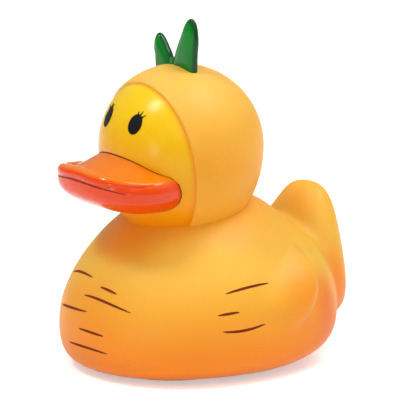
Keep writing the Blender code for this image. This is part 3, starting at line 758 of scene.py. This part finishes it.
# The base plate's seat, the opening above it and the leaves' hole: sides, radius, depth and middle.
round_cuts = (
    (96, plate_radius + FIT_GAP, 20.0 * MM, (0.0, 0.0, PLATE_THICKNESS + FIT_GAP - 10.0 * MM)),
    (96, OPENING_RADIUS, 6.0 * MM, (0.0, 0.0, 3.0 * MM)),
    (48, STEM_RADIUS + STEM_GAP, 12.0 * MM, (STEM_X, HEAD_CENTRE.y + LEAF_Y, HEAD_CENTRE.z + HEAD_UP)),
)
for sides, radius, depth, middle in round_cuts:
    bpy.ops.mesh.primitive_cylinder_add(vertices=sides, radius=radius, depth=depth, location=middle)
    combine(hollow, bpy.context.object, "UNION")
hollow.data.materials.clear()
hollow.data.materials.append(orange_vinyl)
combine(body, hollow, "DIFFERENCE")
body.name = "duck_casting"
only(body)
bpy.ops.object.shade_smooth_by_angle(angle=SKIN_CREASE)
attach(body, "root")
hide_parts("duck_shell")

# Leaves
# The carrot's top: a sprig of one large and one small leaf, moulded in glossy green vinyl, with painted shade
# deepening the green round their thin edges. The blades are thickest down their middles, and a barbed stem
# grips the crown's hole.
# An outline is in millimetres from the head's middle.
LARGE_LEAF = (
    (7.4, 20.0), (8.3, 27.0), (9.0, 32.5), (8.3, 36.8), (6.6, 38.6), (4.4, 37.6), (2.0, 33.4), (-0.6, 28.4),
    (-1.8, 24.6), (-2.4, 20.0),
)
SMALL_LEAF = (
    (-2.8, 20.0), (-3.9, 25.7), (-6.0, 28.6), (-8.0, 31.0), (-9.8, 32.2), (-11.2, 31.0), (-11.8, 28.2),
    (-11.0, 24.8), (-10.0, 20.0),
)
# Each layer of a blade from its back to its front: its share of the outline, and millimetres to the back.
BLADE_LAYERS = (
    (0.4, 1.85), (0.72, 1.55), (0.93, 1.05), (1.04, 0.42),
    (1.04, -0.42), (0.93, -1.05), (0.72, -1.55), (0.4, -1.85),
)
BLADE_MIDDLE = 1.95
LEAF_SEAT = 0.05 * MM
LEAF_CREASE = math.radians(40.0)
# The stem and its barb: radius below and above, and from where to where above the head's middle.
STEM_PARTS = ((1.5, 1.5, 20.2, 26.0), (1.2, 2.6, 17.6, 20.6))
EDGE_SHADE_FROM = 0.7 * MM
EDGE_SHADE_TO = 1.4 * MM

green_vinyl, shader = new_material("glossy_green_vinyl", {
    "Roughness": 0.12,
    "Specular IOR Level": 0.28,
    "IOR": 1.45,
})
place = add_node(green_vinyl, "ShaderNodeTexCoord", {}, {})
axes = add_node(green_vinyl, "ShaderNodeSeparateXYZ", {}, {0: place.outputs["Object"]})
# The green is deeper low down and lighter towards the tips.
rise = add_node(green_vinyl, "ShaderNodeMapRange", {"From Min": 86.0 * MM, "From Max": 105.0 * MM},
                {"Value": axes.outputs["Z"]})
leaf_height_ramp = add_node(green_vinyl, "ShaderNodeValToRGB", {}, {"Fac": rise.outputs["Result"]})
leaf_height_ramp.color_ramp.elements[0].color = paint("#006E20")
leaf_height_ramp.color_ramp.elements[1].color = paint("#00861E")
# Painted shade round the blades' thin edges: near the blades' middle plane the green is mixed to a deep green.
depth = add_node(green_vinyl, "ShaderNodeMath", {"operation": "SUBTRACT", 1: HEAD_CENTRE.y + LEAF_Y},
                 {0: axes.outputs["Y"]})
flat = add_node(green_vinyl, "ShaderNodeMath", {"operation": "ABSOLUTE"}, {0: depth.outputs["Value"]})
edge = add_node(green_vinyl, "ShaderNodeMapRange",
                {"interpolation_type": "SMOOTHSTEP", "From Min": EDGE_SHADE_FROM, "From Max": EDGE_SHADE_TO,
                 "To Min": 0.85, "To Max": 0.0}, {"Value": flat.outputs["Value"]})
painted_edge_shade = add_node(green_vinyl, "ShaderNodeMix", {"data_type": "RGBA", 7: paint("#023A14")},
                {0: edge.outputs["Result"], 6: leaf_height_ramp.outputs["Color"]})
green_vinyl.node_tree.links.new(painted_edge_shade.outputs[2], shader.inputs["Base Color"])


def smooth_path(points, steps):
    """More points through the given ones, each stretch of the path in even steps."""
    path = []
    for index in range(len(points)):
        before, start, end, after = (points[(index + shift) % len(points)] for shift in (-1, 0, 1, 2))
        for step in range(steps):
            share = step / steps
            path.append(0.5 * (2.0 * start + (end - before) * share
                               + (2.0 * before - 5.0 * start + 4.0 * end - after) * share ** 2
                               + (3.0 * start - before - 3.0 * end + after) * share ** 3))
    return path


def blade(name, outline):
    """A leaf: its outline rounded through its points, with both faces swelling to the middle."""
    corners = [HEAD_CENTRE + Vector((x * MM, LEAF_Y, z * MM)) for x, z in outline]
    edge = smooth_path(corners, 3)
    middle = sum(edge, Vector()) / len(edge)
    layers = [[middle + (spot - middle) * width + Vector((0.0, back * MM, 0.0)) for spot in edge]
              for width, back in BLADE_LAYERS]
    reach = Vector((0.0, BLADE_MIDDLE * MM, 0.0))
    made = drawn_ball(name, middle + reach, layers, middle - reach, 2)
    made.data.materials.append(green_vinyl)
    return made


sprig = blade("leaf_sprig", LARGE_LEAF)
combine(sprig, blade("small_leaf", SMALL_LEAF), "UNION")
crown_ball = head_ball("crown_ball", -LEAF_SEAT)
crown_ball.data.materials.append(green_vinyl)
combine(sprig, crown_ball, "DIFFERENCE")
for radius_low, radius_high, low, high in STEM_PARTS:
    bpy.ops.mesh.primitive_cone_add(
        vertices=48, radius1=radius_low * MM, radius2=radius_high * MM, depth=(high - low) * MM,
        location=(STEM_X, HEAD_CENTRE.y + LEAF_Y, HEAD_CENTRE.z + 0.5 * (low + high) * MM))
    stem = bpy.context.object
    stem.data.materials.append(green_vinyl)
    combine(sprig, stem, "UNION")
only(sprig)
bpy.ops.object.shade_smooth_by_angle(angle=LEAF_CREASE)
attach(sprig, "root")
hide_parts("leaf_tuft")

# Base plate
# A moulded disc of the same vinyl in a plainer orange, pressed into its seat to close the casting's opening.
# Nothing is sprayed on it, so it looks matt, with an even grain that is drawn coarser than it is.
PLATE_GRAIN = 0.5 * MM

plate_vinyl, shader = new_material("matt_orange_plate_vinyl", {
    "Base Color": paint("#F3A235"),
    "Roughness": 0.6,
    "IOR": 1.45,
    "Subsurface Weight": 0.3,
    "Subsurface Radius": (1.0, 0.3, 0.08),
    "Subsurface Scale": 2.0 * MM,
})
place = add_node(plate_vinyl, "ShaderNodeTexCoord", {}, {})
grain = add_node(plate_vinyl, "ShaderNodeTexNoise", {"Scale": 1.0 / PLATE_GRAIN, "Detail": 3.0},
                 {"Vector": place.outputs["Object"]})
matt = add_node(plate_vinyl, "ShaderNodeBump", {"Strength": 0.15, "Distance": 0.1 * MM},
                {"Height": grain.outputs["Fac"]})
plate_vinyl.node_tree.links.new(matt.outputs["Normal"], shader.inputs["Normal"])
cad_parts["base_plate"].material_slots[0].material = plate_vinyl

# Squeaker
# A moulded polyethylene cup and vented cap in milky ivory, with a thin spring strip for a reed between them.
# The plastic has the mould's low sheen and lets some light in, and the strip is bright rolled steel.
ivory_plastic, _ = new_material("milky_ivory_polyethylene", {
    "Base Color": paint("#E8E2D2"),
    "Roughness": 0.4,
    "IOR": 1.51,
    "Subsurface Weight": 0.3,
    "Subsurface Radius": (1.0, 0.9, 0.7),
    "Subsurface Scale": 1.0 * MM,
})
reed_metal, _ = new_material("spring_steel_reed", {
    "Base Color": paint("#C6C6C2"),
    "Metallic": 1.0,
    "Roughness": 0.25,
})
for name, finish in (("squeaker_body", ivory_plastic), ("squeaker_cap", ivory_plastic),
                     ("squeaker_reed", reed_metal)):
    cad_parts[name].material_slots[0].material = finish

# Stage and lights
# A plain pale floor, which camera and shiny surfaces see a little brighter than it is lit, and soft lamps: a
# small one for the highlight on the brow, one overhead for the bill's lip, and wide weak ones in front.
FLOOR_SIZE = 6.0
FLOOR_LIFT = 0.45

floor_material, shader = new_material("pale_floor", {
    "Base Color": paint("#F4F4F4"),
    "Roughness": 0.9,
    "Emission Color": (1.0, 1.0, 1.0, 1.0),
})
ray = add_node(floor_material, "ShaderNodeLightPath", {}, {})
shiny = add_node(floor_material, "ShaderNodeMath", {"operation": "ADD"},
                 {0: ray.outputs["Is Glossy Ray"], 1: ray.outputs["Is Transmission Ray"]})
seen = add_node(floor_material, "ShaderNodeMath", {"operation": "ADD"},
                {0: ray.outputs["Is Camera Ray"], 1: shiny.outputs["Value"]})
lift = add_node(floor_material, "ShaderNodeMath", {"operation": "MULTIPLY", 1: FLOOR_LIFT},
                {0: seen.outputs["Value"]})
floor_material.node_tree.links.new(lift.outputs[0], shader.inputs["Emission Strength"])
bpy.ops.mesh.primitive_plane_add(size=FLOOR_SIZE, location=(0.0, 0.0, 0.0))
floor = bpy.context.object
floor.name = "floor"
floor.data.materials.append(floor_material)
world = bpy.data.worlds.new("studio")
bpy.context.scene.world = world
world.use_nodes = True
backdrop = world.node_tree.nodes["Background"]
backdrop.inputs["Color"].default_value = (1.0, 1.0, 1.0, 1.0)
outlook = add_node(world, "ShaderNodeTexCoord", {}, {})
parts = add_node(world, "ShaderNodeSeparateXYZ", {}, {0: outlook.outputs["Generated"]})
ceiling = add_node(world, "ShaderNodeMapRange",
                   {"From Min": 0.05, "From Max": 0.75, "To Min": 0.36, "To Max": 0.5},
                   {"Value": parts.outputs["Z"]})
world.node_tree.links.new(ceiling.outputs["Result"], backdrop.inputs["Strength"])
# Each lamp: the way to it from the head as right, up and back in the camera's frame, distance, width,
# height and power.
LAMPS = (
    ("key_softbox", (-0.48, 0.80, 0.35), 0.9, 0.20, 0.20, 2.8),
    ("window", (-0.58, -0.11, 0.80), 1.1, 0.20, 0.34, 1.0),
    ("overhead_softbox", (0.42, 0.87, 0.22), 0.9, 0.42, 0.60, 4.3),
    ("front_panel", (0.10, 0.45, 0.85), 1.8, 1.6, 1.6, 4.6),
    ("right_panel", (0.90, 0.30, 0.10), 1.6, 1.2, 1.2, 1.8),
)
for name, way, distance, width, height, power in LAMPS:
    direction = (camera_right * way[0] + camera_up * way[1] + camera_back * way[2]).normalized()
    bpy.ops.object.light_add(type="AREA", location=HEAD_CENTRE + direction * distance)
    lamp = bpy.context.object
    lamp.name = name
    lamp.data.shape = "ELLIPSE"
    lamp.data.size = width
    lamp.data.size_y = height
    lamp.data.energy = power
    lamp.rotation_euler = direction.to_track_quat("Z", "Y").to_euler()
bpy.context.scene.view_settings.view_transform = "Standard"
